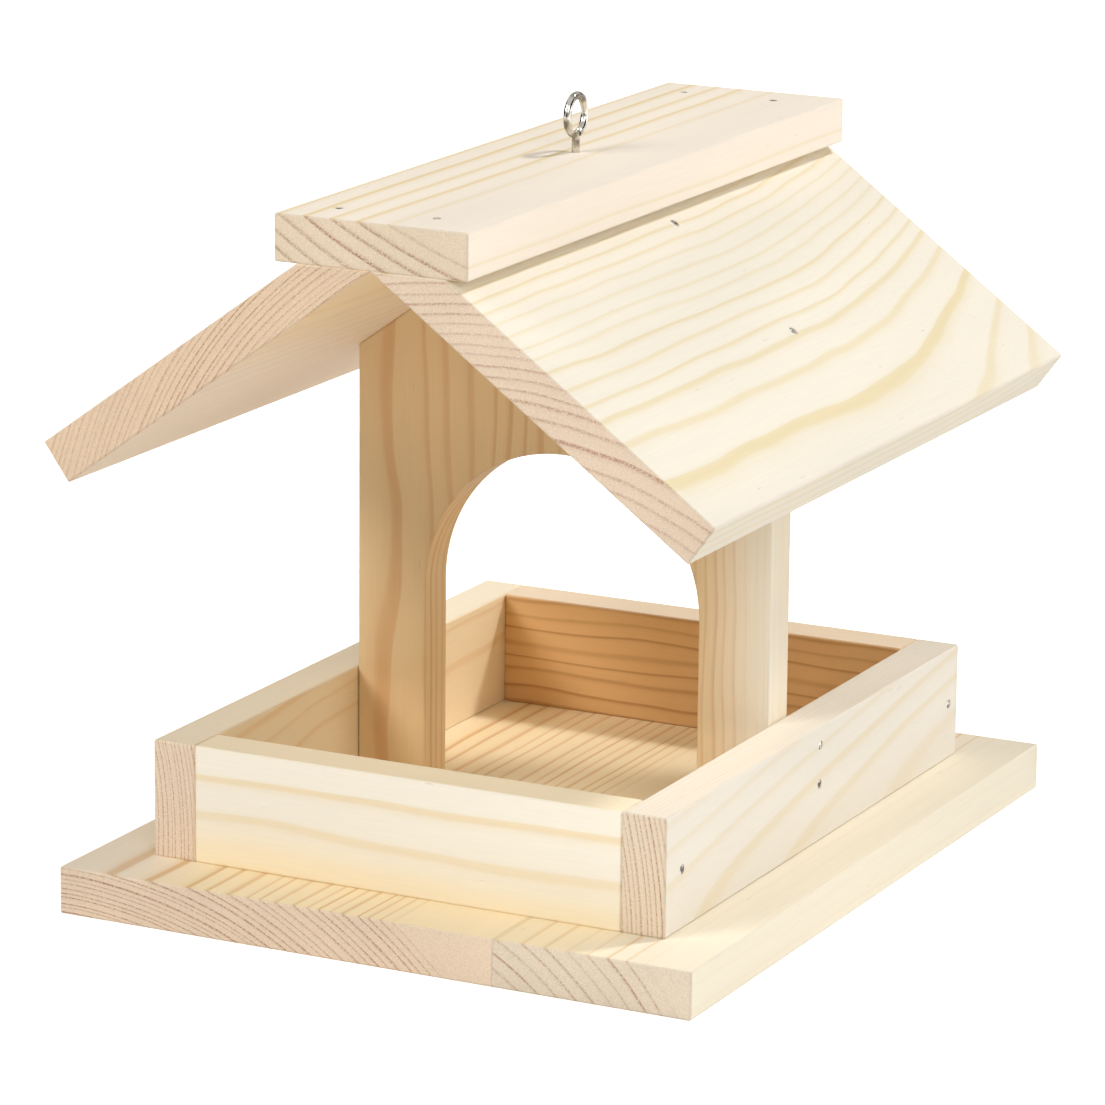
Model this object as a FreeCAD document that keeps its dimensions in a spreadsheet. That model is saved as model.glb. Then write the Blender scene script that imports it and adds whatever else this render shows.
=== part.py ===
import FreeCAD, Part
import Sketcher
import math
import os

# Hanging bird table of planed softwood boards, all sizes in millimetres.
#
# A wide base board, glued up from two staves, carries a shallow tray of four slats. One upright
# panel stands across the middle of the tray, between the side slats. It has an arched doorway and
# a gable top. Two sloping roof boards rest on the gable, with their upper ends cut level, and a
# flat ridge board covers both cuts. Wire nails hold the boards, and a screw eye hangs the table.
#
# Frame: the origin is the centre of the base's underside, +Z is up, X runs across the roof's
# slopes, and Y runs along the ridge, with the front at -Y.

SIZES = {
    # base board: two staves, edge-glued at a seam to the right of the middle
    "base_width": 178.0,
    "base_depth": 224.0,
    "base_thickness": 12.5,
    "base_seam": 35.0,
    # tray of four slats, set in from the base's edges by a ledge
    "side_ledge": 16.5,
    "end_ledge": 19.5,
    "rim_height": 31.0,
    "rim_thickness": 12.0,
    # upright panel: its gable has the roof's pitch, and its doorway is a half circle on two legs
    "panel_thickness": 12.0,
    "panel_height": 163.0,
    "panel_clearance": 0.3,
    "leg_width": 20.2,
    "doorway_height": 96.0,
    # roof boards: the width is measured down the top face, from the level cut to the eave
    "roof_pitch": 36.0,
    "roof_board_width": 89.5,
    "roof_length": 222.0,
    "roof_thickness": 12.0,
    # ridge board, as long as the roof
    "ridge_width": 53.0,
    "ridge_thickness": 12.0,
    # edges eased with sandpaper
    "edge_chamfer": 0.35,
    "panel_edge_chamfer": 0.3,
    # wire nails, with the heads set just below the wood: a head has a straight rim and a cone below it
    "nail_length": 25.0,
    "ridge_nail_length": 18.0,
    "nail_diameter": 1.4,
    "nail_head_diameter": 2.4,
    "nail_head_thickness": 0.8,
    "nail_head_rim": 0.4,
    "nail_point": 2.0,
    "nail_set": 0.3,
    "nail_clearance": 0.05,
    # where the nails go: the ridge's stray to the left, and the roof's behind the panel's middle
    "ridge_nail_inset": 13.0,
    "ridge_nail_spacing": 27.0,
    "ridge_nail_stray": 2.2,
    "roof_nail_first": 8.0,
    "roof_nail_spacing": 42.0,
    "roof_nail_stray": 3.5,
    "slat_nail_height": 15.5,
    "front_nail_inset": 9.4,
    "back_nail_inset": 6.0,
    "leg_nail_spacing": 10.5,
    "base_nail_spacing": 120.0,
    # screw eye
    "eye_wire_diameter": 2.1,
    "eye_ring_diameter": 12.2,
    "eye_neck": 3.6,
    "eye_bend_radius": 2.2,
    "eye_closing_angle": 16.0,
    "eye_screwed_in": 10.0,
    "eye_point": 3.0,
    "eye_clearance": 0.05,
}

# How far a hole's tool stands out of the wood, so that its mouth is cut clean.
MOUTH = 1.0
# Two points closer than this are the same place.
SAME = 1e-4
# A nail is so thin that twelve flat sides draw it round.
NAIL_SIDES = 12
# Which way each side and each end lies from the middle.
SIDES = {"left": -1, "right": 1}
ENDS = {"front": -1, "back": 1}

doc = FreeCAD.newDocument("bird_table")
sheet = doc.addObject("Spreadsheet::Sheet", "Sizes")
for row, (alias, size) in enumerate(SIZES.items(), 1):
    sheet.set(f"A{row}", alias)
    sheet.set(f"B{row}", str(size))
    sheet.setAlias(f"B{row}", alias)
doc.recompute()


def cell(alias):
    """The expression that reads one size from the sheet."""
    return f"{sheet.Name}.{alias}"


# Places that several pieces share, as expressions of the sheet's sizes.
BASE_TOP = cell("base_thickness")
RIM_WIDTH = f"({cell('base_width')} - 2 * {cell('side_ledge')})"
RIM_DEPTH = f"({cell('base_depth')} - 2 * {cell('end_ledge')})"
SLAT_X = f"({RIM_WIDTH} - {cell('rim_thickness')}) / 2"
SLAT_Y = f"({RIM_DEPTH} - {cell('rim_thickness')}) / 2"
RIM_INSIDE = f"({RIM_WIDTH} - 2 * {cell('rim_thickness')})"
PANEL_WIDTH = f"({RIM_INSIDE} - 2 * {cell('panel_clearance')})"
DOORWAY_RADIUS = f"({PANEL_WIDTH} / 2 - {cell('leg_width')})"
PEAK = f"({BASE_TOP} + {cell('panel_height')})"
LEVEL_CUT = f"({cell('roof_thickness')} / sin({cell('roof_pitch')}))"
RIDGE_TOP = f"({PEAK} + {cell('ridge_thickness')})"
SLAT_NAIL_Z = f"({BASE_TOP} + {cell('slat_nail_height')})"


def value(expression):
    """The number that an expression gives with the sizes in the sheet."""
    return float(sheet.evalExpression(expression))


def bind(target, **expressions):
    """Ties properties of an object to expressions, with two underscores for a dot in a name."""
    for name, expression in expressions.items():
        target.setExpression(name.replace("__", "."), str(expression))


def place(target, x="0", y="0", z="0", lean="0"):
    """Puts an object at x, y, z and leans it about the Y axis, which turns +Z towards +X."""
    target.Placement = FreeCAD.Placement(
        FreeCAD.Vector(0, 0, 0), FreeCAD.Rotation(FreeCAD.Vector(0, 1, 0), 0)
    )
    bind(
        target,
        Placement__Base__x=x,
        Placement__Base__y=y,
        Placement__Base__z=z,
        Placement__Rotation__Axis__x="0",
        Placement__Rotation__Axis__y="1",
        Placement__Rotation__Axis__z="0",
        Placement__Rotation__Angle=lean,
    )


def new_body(name):
    """An empty body, with its name as its label."""
    body = doc.addObject("PartDesign::Body", name)
    body.Label = name
    return body


def sketch_on(body, role, name):
    """A sketch on one of the body's own origin planes."""
    sketch = body.newObject("Sketcher::SketchObject", name)
    plane = next(item for item in body.Origin.OriginFeatures if item.Role == role)
    sketch.AttachmentSupport = (plane, "")
    sketch.MapMode = "FlatFace"
    return sketch


def dimension(sketch, name, expression, *constraint):
    """Adds a named dimension to a sketch and ties it to an expression."""
    start = value(expression)
    if constraint[0] == "Angle":
        start = math.radians(start)
    index = sketch.addConstraint(Sketcher.Constraint(*constraint, start))
    sketch.renameConstraint(index, name)
    unit = " * 1 deg" if constraint[0] == "Angle" else ""
    sketch.setExpression(f"Constraints.{name}", f"({expression}){unit}")


def closed_outline(sketch, points):
    """Draws a closed chain of straight lines and gives the lines' numbers."""
    corners = [FreeCAD.Vector(x, y, 0) for x, y in points]
    lines = [
        sketch.addGeometry(Part.LineSegment(start, end), False)
        for start, end in zip(corners, corners[1:] + corners[:1])
    ]
    for line, following in zip(lines, lines[1:] + lines[:1]):
        sketch.addConstraint(Sketcher.Constraint("Coincident", line, 2, following, 1))
    return lines


def padded(body, sketch, length, symmetric=False):
    """Pads a sketch, to one side or to both sides of its plane."""
    pad = body.newObject("PartDesign::Pad", f"{body.Name}_pad")
    pad.Profile = sketch
    pad.SideType = "Symmetric" if symmetric else "One side"
    bind(pad, Length=length)
    body.Tip = pad
    doc.recompute()
    return pad


def eased(body, feature, size, wanted=None):
    """Takes the sharpness off the wanted edges of a body, or off all of them."""
    chamfer = body.newObject("PartDesign::Chamfer", f"{body.Name}_easing")
    if wanted is None:
        chamfer.Base = (feature, [""])
        chamfer.UseAllEdges = True
    else:
        edges = enumerate(feature.Shape.Edges, 1)
        chamfer.Base = (feature, [f"Edge{number}" for number, edge in edges if wanted(edge)])
    bind(chamfer, Size=size)
    body.Tip = chamfer
    doc.recompute()


def all_points(edge, test):
    """Whether a test holds at both ends and at the middle of an edge."""
    first, last = edge.FirstParameter, edge.LastParameter
    return all(test(edge.valueAt(at)) for at in (first, (first + last) / 2, last))


def plank(name, left, right, length, height):
    """A straight board lying along Y: its plan is a rectangle, and it is padded to its height."""
    body = new_body(name)
    sketch = sketch_on(body, "XY_Plane", f"{name}_plan")
    x_low, x_high, half = value(left), value(right), value(length) / 2
    corners = [(x_low, -half), (x_high, -half), (x_high, half), (x_low, half)]
    front, _, back, left_side = closed_outline(sketch, corners)
    for line in (front, back):
        sketch.addConstraint(Sketcher.Constraint("Horizontal", line))
    sketch.addConstraint(Sketcher.Constraint("Vertical", left_side))
    sketch.addConstraint(Sketcher.Constraint("Symmetric", front, 2, back, 1, -1))
    dimension(sketch, "depth", length, "DistanceY", front, 2, back, 1)
    dimension(sketch, "left", left, "DistanceX", -1, 1, front, 1)
    dimension(sketch, "right", right, "DistanceX", -1, 1, front, 2)
    padded(body, sketch, height)
    return body


class NailKind:
    """The cross-sections, from point to head, of one kind of nail or of the hole for it.

    Its own +Z points out of the wood, and its origin lies on the wood.
    """

    def __init__(self, name, length, spread="0", mouth="0"):
        self.name = name
        head = f"{cell('nail_head_diameter')} / 2 + {spread}"
        shank = f"{cell('nail_diameter')} / 2 + {spread}"
        point = f"-({cell('nail_set')} + {length} + {spread})"
        self.sections = [self.tip(point)]
        for part, radius, z in (
            ("shoulder", shank, f"{point} + {cell('nail_point')}"),
            ("neck", shank, f"-({cell('nail_set')} + {cell('nail_head_thickness')} + {spread})"),
            ("rim", head, f"-({cell('nail_set')} + {cell('nail_head_rim')} + {spread})"),
            ("top", head, f"{mouth} - {cell('nail_set')}"),
        ):
            self.sections.append(self.outline(part, radius, z))

    def tip(self, z):
        """The nail's point."""
        vertex = doc.addObject("Part::Vertex", f"{self.name}_tip")
        bind(vertex, Z=z)
        return vertex

    def outline(self, part, radius, z):
        """One cross-section, square to the nail."""
        polygon = doc.addObject("Part::RegularPolygon", f"{self.name}_{part}")
        polygon.Polygon = NAIL_SIDES
        bind(polygon, Circumradius=radius)
        place(polygon, z=z)
        return polygon

    def made(self, name, x, y, z, lean):
        """One nail or hole of this kind, put where it goes."""
        solid = doc.addObject("Part::Loft", name)
        solid.Sections = self.sections
        solid.Solid = True
        solid.Ruled = True
        solid.Linearize = True
        place(solid, x, y, z, lean)
        return solid


class NailGroup:
    """Like nails of one board, and for each the hole that the boards get."""

    def __init__(self, name, nail_kind, hole_kind):
        self.name = name
        self.nail_kind = nail_kind
        self.hole_kind = hole_kind
        self.nails = []
        self.holes = []

    def drive(self, x, y, z, lean):
        """Adds one nail and its hole."""
        name = f"{self.name}_{len(self.nails) + 1}"
        self.nails.append(self.nail_kind.made(name, x, y, z, lean))
        self.holes.append(self.hole_kind.made(f"{name}_hole", x, y, z, lean))

    def gathered(self):
        """The group's nails as one piece of the table, each still its own solid."""
        group = doc.addObject("Part::Compound", self.name)
        group.Label = self.name
        group.Links = self.nails
        return group


def drilled(name, blank, groups, bores=()):
    """A finished board: its blank less the holes of the nail groups that reach it, and any bores."""
    tools = doc.addObject("Part::Compound", f"{name}_holes")
    tools.Links = [hole for group in groups for hole in group.holes] + list(bores)
    board = doc.addObject("Part::Cut", name)
    board.Label = name
    board.Base = blank
    board.Tool = tools
    return board


def base_stave(name, left, right):
    """One stave of the base, with every edge eased but those at the glued seam."""
    body = plank(f"{name}_blank", left, right, cell("base_depth"), cell("base_thickness"))
    seam = value(cell("base_seam"))

    def outer(edge):
        return not all_points(edge, lambda point: abs(point.x - seam) < SAME)

    eased(body, body.Tip, cell("edge_chamfer"), outer)
    return body


def side_slat(name, side):
    """A side slat of the tray, standing on the base, as long as the tray."""
    half = f"{cell('rim_thickness')} / 2"
    body = plank(f"{name}_blank", f"-{half}", half, RIM_DEPTH, cell("rim_height"))
    eased(body, body.Tip, cell("edge_chamfer"))
    place(body, f"{side} * {SLAT_X}", "0", BASE_TOP)
    return body


def end_slat(name, end):
    """A front or back slat of the tray, between the side slats."""
    half = f"{RIM_INSIDE} / 2"
    body = plank(f"{name}_blank", f"-{half}", half, cell("rim_thickness"), cell("rim_height"))
    eased(body, body.Tip, cell("edge_chamfer"))
    place(body, "0", f"{end} * {SLAT_Y}", BASE_TOP)
    return body


def upright_panel(name):
    """The panel across the tray: two legs, a half-round doorway and a gable at the roof's pitch."""
    body = new_body(f"{name}_blank")
    sketch = sketch_on(body, "XZ_Plane", f"{name}_outline")
    slope = math.tan(math.radians(value(cell("roof_pitch"))))
    half, radius = value(PANEL_WIDTH) / 2, value(DOORWAY_RADIUS)
    peak, spring = value(cell("panel_height")), value(cell("doorway_height")) - radius
    eave = peak - half * slope
    outline = [(-radius, spring), (-radius, 0), (-half, 0), (-half, eave), (0, peak)]
    outline += [(half, eave), (half, 0), (radius, 0), (radius, spring)]
    corners = [FreeCAD.Vector(x, z, 0) for x, z in outline]
    lines = [
        sketch.addGeometry(Part.LineSegment(start, end), False)
        for start, end in zip(corners, corners[1:])
    ]
    for line, following in zip(lines, lines[1:]):
        sketch.addConstraint(Sketcher.Constraint("Coincident", line, 2, following, 1))
    inner_left, foot_left, outer_left, gable_left, gable_right, outer_right, foot_right, inner_right = lines
    circle = Part.Circle(FreeCAD.Vector(0, spring, 0), FreeCAD.Vector(0, 0, 1), radius)
    arch = sketch.addGeometry(Part.ArcOfCircle(circle, 0, math.pi), False)
    sketch.addConstraint(Sketcher.Constraint("Coincident", arch, 1, inner_right, 2))
    sketch.addConstraint(Sketcher.Constraint("Coincident", arch, 2, inner_left, 1))
    for line in (foot_left, foot_right):
        sketch.addConstraint(Sketcher.Constraint("Horizontal", line))
    for line in (inner_left, outer_left, outer_right, inner_right):
        sketch.addConstraint(Sketcher.Constraint("Vertical", line))
    sketch.addConstraint(Sketcher.Constraint("PointOnObject", foot_right, 1, -1))
    sketch.addConstraint(Sketcher.Constraint("PointOnObject", gable_left, 2, -2))
    sketch.addConstraint(Sketcher.Constraint("PointOnObject", arch, 3, -2))
    sketch.addConstraint(Sketcher.Constraint("Symmetric", foot_left, 2, foot_right, 1, -2))
    sketch.addConstraint(Sketcher.Constraint("Horizontal", gable_left, 1, gable_right, 2))
    for end in (1, 2):
        sketch.addConstraint(Sketcher.Constraint("Horizontal", arch, 3, arch, end))
    dimension(sketch, "width", PANEL_WIDTH, "DistanceX", foot_left, 2, foot_right, 1)
    dimension(sketch, "peak", cell("panel_height"), "DistanceY", -1, 1, gable_left, 2)
    dimension(sketch, "pitch", cell("roof_pitch"), "Angle", gable_left)
    dimension(sketch, "leg", cell("leg_width"), "DistanceX", foot_right, 2, foot_right, 1)
    spring_height = f"{cell('doorway_height')} - {DOORWAY_RADIUS}"
    dimension(sketch, "spring", spring_height, "DistanceY", -1, 1, arch, 3)
    pad = padded(body, sketch, cell("panel_thickness"), symmetric=True)
    half_thickness = value(cell("panel_thickness")) / 2

    def on_a_face(edge):
        return all_points(edge, lambda point: abs(abs(point.y) - half_thickness) < SAME)

    eased(body, pad, cell("panel_edge_chamfer"), on_a_face)
    place(body, "0", "0", BASE_TOP)
    return body


def roof_board(name, side):
    """A sloping roof board: level upper cut, square eave.

    Its lower inner corner is the sketch's origin and stands on the gable's peak line.
    """
    body = new_body(f"{name}_blank")
    sketch = sketch_on(body, "XZ_Plane", f"{name}_section")
    pitch = math.radians(value(cell("roof_pitch")))
    thickness, width = value(cell("roof_thickness")), value(cell("roof_board_width"))
    cut = value(LEVEL_CUT)
    eave = cut + width * math.cos(pitch)
    drop = width * math.sin(pitch)
    eave_top = (side * eave, -drop)
    eave_bottom = (side * (eave - thickness * math.sin(pitch)), -drop - thickness * math.cos(pitch))
    corners = [(0, 0), (side * cut, 0), eave_top, eave_bottom]
    level, top, end, underside = closed_outline(sketch, corners)
    sketch.addConstraint(Sketcher.Constraint("Coincident", level, 1, -1, 1))
    sketch.addConstraint(Sketcher.Constraint("Horizontal", level))
    sketch.addConstraint(Sketcher.Constraint("Parallel", top, underside))
    sketch.addConstraint(Sketcher.Constraint("Perpendicular", top, end))
    dimension(sketch, "width", cell("roof_board_width"), "Distance", top)
    dimension(sketch, "thickness", cell("roof_thickness"), "Distance", end)
    # the underside's line runs up to the peak, so on the right it leans back from the X axis
    uphill = f"180 - {cell('roof_pitch')}" if side > 0 else cell("roof_pitch")
    dimension(sketch, "pitch", uphill, "Angle", underside)
    pad = padded(body, sketch, cell("roof_length"), symmetric=True)

    def away_from_peak(edge):
        return not all_points(edge, lambda point: abs(point.x) < SAME)

    eased(body, pad, cell("edge_chamfer"), away_from_peak)
    place(body, "0", "0", PEAK)
    return body


def ridge_board(name):
    """The flat board over the roof's level cuts."""
    half = f"{cell('ridge_width')} / 2"
    body = plank(f"{name}_blank", f"-{half}", half, cell("roof_length"), cell("ridge_thickness"))
    eased(body, body.Tip, cell("edge_chamfer"))
    place(body, "0", "0", PEAK)
    return body


def screw_eye(name):
    """The screw eye: one wire that leaves the shank by a small bend and closes round to its neck.

    Its origin is where the wood's face cuts the shank's axis, and the ring lies along the ridge.
    """
    body = new_body(name)
    depth = value(f"{cell('eye_screwed_in')} - {cell('eye_point')}")
    bend = value(cell("eye_bend_radius"))
    wire = value(cell("eye_wire_diameter"))
    ring = (value(cell("eye_ring_diameter")) - wire) / 2
    ring_centre = value(cell("eye_neck")) + wire / 2 + ring
    # the bend and the ring touch from outside, so their centres lie both radii apart
    bend_centre = ring_centre - math.sqrt((ring + bend) ** 2 - bend**2)
    meet_angle = math.atan2(ring_centre - bend_centre, bend)
    end_angle = math.radians(value(cell("eye_closing_angle"))) - math.pi / 2

    path = sketch_on(body, "YZ_Plane", f"{name}_path")
    shank = path.addGeometry(
        Part.LineSegment(FreeCAD.Vector(0, -depth, 0), FreeCAD.Vector(0, bend_centre, 0)), False
    )
    small = Part.Circle(FreeCAD.Vector(-bend, bend_centre, 0), FreeCAD.Vector(0, 0, 1), bend)
    turn = path.addGeometry(Part.ArcOfCircle(small, 0, meet_angle), False)
    large = Part.Circle(FreeCAD.Vector(0, ring_centre, 0), FreeCAD.Vector(0, 0, 1), ring)
    loop = path.addGeometry(Part.ArcOfCircle(large, end_angle, math.pi + meet_angle), False)
    path.addConstraint(Sketcher.Constraint("PointOnObject", shank, 1, -2))
    path.addConstraint(Sketcher.Constraint("Vertical", shank))
    path.addConstraint(Sketcher.Constraint("Tangent", shank, 2, turn, 1))
    path.addConstraint(Sketcher.Constraint("Tangent", turn, 2, loop, 2))
    path.addConstraint(Sketcher.Constraint("PointOnObject", loop, 3, -2))
    depth_cells = f"-({cell('eye_screwed_in')} - {cell('eye_point')})"
    dimension(path, "depth", depth_cells, "DistanceY", -1, 1, shank, 1)
    dimension(path, "bend", cell("eye_bend_radius"), "Radius", turn)
    ring_cells = f"({cell('eye_ring_diameter')} - {cell('eye_wire_diameter')}) / 2"
    dimension(path, "ring", ring_cells, "Radius", loop)
    centre_cells = f"{cell('eye_neck')} + {cell('eye_ring_diameter')} / 2"
    dimension(path, "ring_height", centre_cells, "DistanceY", -1, 1, loop, 3)
    end_cells = f"{ring_cells} * sin({cell('eye_closing_angle')})"
    dimension(path, "closing", end_cells, "DistanceX", -1, 1, loop, 1)

    section = sketch_on(body, "XY_Plane", f"{name}_section")
    bind(section, AttachmentOffset__Base__z=depth_cells)
    round_wire = Part.Circle(FreeCAD.Vector(0, 0, 0), FreeCAD.Vector(0, 0, 1), wire / 2)
    circle = section.addGeometry(round_wire, False)
    section.addConstraint(Sketcher.Constraint("Coincident", circle, 3, -1, 1))
    dimension(section, "wire", cell("eye_wire_diameter"), "Diameter", circle)

    swept = body.newObject("PartDesign::AdditivePipe", f"{name}_wire")
    swept.Profile = section
    swept.Spine = (path, [f"Edge{number}" for number in (1, 2, 3)])
    body.Tip = swept
    doc.recompute()

    point = body.newObject("PartDesign::AdditiveCone", f"{name}_point")
    plane = next(item for item in body.Origin.OriginFeatures if item.Role == "XY_Plane")
    point.AttachmentSupport = (plane, "")
    point.MapMode = "FlatFace"
    bind(
        point,
        AttachmentOffset__Base__z=f"-{cell('eye_screwed_in')}",
        Radius2=f"{cell('eye_wire_diameter')} / 2",
        Height=cell("eye_point"),
    )
    point.Radius1 = 0
    body.Tip = point
    place(body, "0", "0", RIDGE_TOP)
    return body


def eye_bore(name):
    """The hole that the screw eye goes into."""
    bore = doc.addObject("Part::Cylinder", name)
    bind(
        bore,
        Radius=f"{cell('eye_wire_diameter')} / 2 + {cell('eye_clearance')}",
        Height=f"{cell('eye_screwed_in')} + {MOUTH}",
    )
    place(bore, "0", "0", f"{RIDGE_TOP} - {cell('eye_screwed_in')}")
    return bore


def nail_kinds(name, length_alias):
    """A kind of nail, and the kind of hole that goes with it."""
    clearance = cell("nail_clearance")
    mouth = f"({MOUTH} + {cell('nail_set')})"
    nail = NailKind(name, cell(length_alias))
    return nail, NailKind(f"{name}_hole", cell(length_alias), clearance, mouth)


def drive_all_nails():
    """Every nail of the table, in groups named for the board or joint that they hold."""
    long_nail, short_nail = nail_kinds("nail", "nail_length"), nail_kinds("ridge_nail", "ridge_nail_length")
    pitch = cell("roof_pitch")
    groups = {}
    for side_name, side in SIDES.items():
        ridge = NailGroup(f"ridge_nails_{side_name}", *short_nail)
        roof = NailGroup(f"roof_nails_{side_name}", *long_nail)
        slat = NailGroup(f"slat_nails_{side_name}", *long_nail)
        leg = NailGroup(f"leg_nails_{side_name}", *long_nail)
        base = NailGroup(f"base_nails_{side_name}", *long_nail)
        rim_x, lean = f"{side} * {RIM_WIDTH} / 2", f"{side * 90}"
        for end_name, end in ENDS.items():
            ridge_x = f"{side} * {cell('ridge_nail_spacing')} / 2 - {cell('ridge_nail_stray')}"
            ridge_y = f"{end} * ({cell('roof_length')} / 2 - {cell('ridge_nail_inset')})"
            ridge.drive(ridge_x, ridge_y, RIDGE_TOP, "0")
            slat_y = f"{end} * ({RIM_DEPTH} / 2 - {cell(f'{end_name}_nail_inset')})"
            slat.drive(rim_x, slat_y, SLAT_NAIL_Z, lean)
            base.drive(f"{side} * {SLAT_X}", f"{end} * {cell('base_nail_spacing')} / 2", "0", "180")
        for number in (0, 1):
            down = f"({cell('roof_nail_first')} + {number} * {cell('roof_nail_spacing')})"
            roof_x = f"{side} * ({LEVEL_CUT} + {down} * cos({pitch}))"
            roof_z = f"{PEAK} - {down} * sin({pitch})"
            roof.drive(roof_x, cell("roof_nail_stray"), roof_z, f"{side} * {pitch}")
            leg.drive(rim_x, "0", f"{SLAT_NAIL_Z} + {number} * {cell('leg_nail_spacing')}", lean)
        groups.update({group.name: group for group in (ridge, roof, slat, leg, base)})
    middle = NailGroup("base_nails_middle", *long_nail)
    for end in ENDS.values():
        middle.drive("0", f"{end} * {SLAT_Y}", "0", "180")
    groups[middle.name] = middle
    return groups


def cut_boards(groups):
    """Every board of the table, with the holes of its nails."""
    left_edge, right_edge = f"-{cell('base_width')} / 2", f"{cell('base_width')} / 2"
    seam = cell("base_seam")
    middle = groups["base_nails_middle"]
    boards = []
    for side_name, side in SIDES.items():
        ridge, roof, slat, leg, base = (
            groups[f"{kind}_nails_{side_name}"] for kind in ("ridge", "roof", "slat", "leg", "base")
        )
        edges = (left_edge, seam) if side < 0 else (seam, right_edge)
        name = f"base_stave_{side_name}"
        boards.append(drilled(name, base_stave(name, *edges), [base, middle]))
        name = f"rim_{side_name}"
        boards.append(drilled(name, side_slat(name, side), [slat, leg, base]))
        name = f"roof_{side_name}"
        boards.append(drilled(name, roof_board(name, side), [ridge, roof]))
    corners = [groups["slat_nails_left"], groups["slat_nails_right"], middle]
    for end_name, end in ENDS.items():
        name = f"rim_{end_name}"
        boards.append(drilled(name, end_slat(name, end), corners))
    in_panel = [groups[f"{kind}_nails_{side_name}"] for kind in ("roof", "leg") for side_name in SIDES]
    boards.append(drilled("upright_panel", upright_panel("upright_panel"), in_panel))
    in_ridge = [groups[f"ridge_nails_{side_name}"] for side_name in SIDES]
    boards.append(drilled("ridge_board", ridge_board("ridge_board"), in_ridge, [eye_bore("eye_bore")]))
    return boards


def check(pieces, boards):
    """Stops if an object failed, a piece isn't made of valid solids, or a board got no holes."""
    failed = [item.Label for item in doc.Objects if {"Invalid", "Error"} & set(item.State)]
    if failed:
        raise RuntimeError(f"objects that failed: {failed}")
    for piece, count in pieces.items():
        if piece.Shape.isNull() or not piece.Shape.isValid() or len(piece.Shape.Solids) != count:
            raise RuntimeError(f"{piece.Label} is not {count} valid solids")
    for board in boards:
        if board.Shape.Volume >= board.Base.Shape.Volume:
            raise RuntimeError(f"{board.Label} got no holes")


nail_groups = drive_all_nails()
boards = cut_boards(nail_groups)
pieces = {board: 1 for board in boards}
pieces.update({group.gathered(): len(group.nails) for group in nail_groups.values()})
pieces[screw_eye("screw_eye")] = 1
doc.recompute()
check(pieces, boards)

os.makedirs("parts", exist_ok=True)
for piece in pieces:
    piece.Shape.exportStep(f"parts/{piece.Label}.step")
print(f"{len(pieces)} pieces")
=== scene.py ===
import logging
import math
import random
from collections.abc import Sequence
from dataclasses import dataclass
from enum import Enum

import bmesh
import bpy
from mathutils import Matrix, Vector


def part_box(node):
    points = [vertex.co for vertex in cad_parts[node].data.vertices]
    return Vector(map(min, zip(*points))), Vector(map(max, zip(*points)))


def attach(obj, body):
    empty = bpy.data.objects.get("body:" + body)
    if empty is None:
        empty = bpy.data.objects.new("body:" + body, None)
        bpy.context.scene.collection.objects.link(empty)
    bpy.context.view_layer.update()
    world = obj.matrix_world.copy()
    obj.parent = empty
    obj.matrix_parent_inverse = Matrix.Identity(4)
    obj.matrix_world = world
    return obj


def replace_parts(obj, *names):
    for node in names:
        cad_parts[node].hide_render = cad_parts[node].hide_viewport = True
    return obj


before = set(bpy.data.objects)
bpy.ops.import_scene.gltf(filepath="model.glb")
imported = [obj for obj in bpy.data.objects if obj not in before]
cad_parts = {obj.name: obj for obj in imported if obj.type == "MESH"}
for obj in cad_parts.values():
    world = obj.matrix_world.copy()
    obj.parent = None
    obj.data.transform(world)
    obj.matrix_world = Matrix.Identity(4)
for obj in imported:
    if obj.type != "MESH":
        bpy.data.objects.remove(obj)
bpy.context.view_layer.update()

# Looks of a small hanging bird table: untreated planed pine boards, wire nails and a nickel screw eye.
# The object's lengths are in metres. Sizes of patterns and of ironmongery are in millimetres.

MM = 0.001

log = logging.getLogger("bird_table")

Colour = tuple[float, float, float, float]
Point = tuple[float, float, float]
Table = tuple[tuple[float, float], ...]
Socket = bpy.types.NodeSocket

# the patterns' sizes in the wood, across the fibres and along them, in millimetres
PORES = (0.5, 20.0)
FIBRES = (0.35, 20.0)
DUCTS = (0.45, 6.0)
PATCHES = (25.0, 120.0)
# the brown of the resin ducts
RESIN = "#a9825a"

# noise seldom leaves the middle half of its range, and this stretches it to about one each way
NOISE_GAIN = 4.0
# faces that meet at more than this many degrees keep a crisp edge between them
CRISP_EDGE = 40.0


def linear(hex_colour: str) -> Colour:
    """Turns an sRGB hex colour into the linear colour that a shader takes.

    Args:
        hex_colour: six hex digits after a hash sign.

    Returns:
        Red, green, blue and a full alpha.
    """
    parts = [int(hex_colour[at:at + 2], 16) / 255 for at in (1, 3, 5)]
    red, green, blue = (
        part / 12.92 if part <= 0.04045 else ((part + 0.055) / 1.055) ** 2.4 for part in parts
    )
    return (red, green, blue, 1.0)


class Graph:
    """The node tree of one material or world."""

    def __init__(self, owner: bpy.types.ID) -> None:
        """Starts the owner's tree empty.

        Args:
            owner: the material or world.
        """
        owner.use_nodes = True
        self.tree = owner.node_tree
        self.tree.nodes.clear()

    def add(
        self, kind: str, settings: dict[str, object] | None = None, **inputs: object
    ) -> bpy.types.Node:
        """Adds a node with its settings and links.

        Args:
            kind: the node's type, without the words that every node type starts with.
            settings: its properties, by name.
            inputs: its inputs, by name with an underscore for a space, or by i and a number. A value is
                an output socket of another node or a constant.

        Returns:
            The new node.
        """
        made = self.tree.nodes.new(f"ShaderNode{kind}")
        for name, value in (settings or {}).items():
            setattr(made, name, value)
        for name, value in inputs.items():
            key = int(name[1:]) if name[1:].isdigit() else name.replace("_", " ")
            if isinstance(value, Socket):
                self.tree.links.new(value, made.inputs[key])
            else:
                made.inputs[key].default_value = value
        return made


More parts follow.
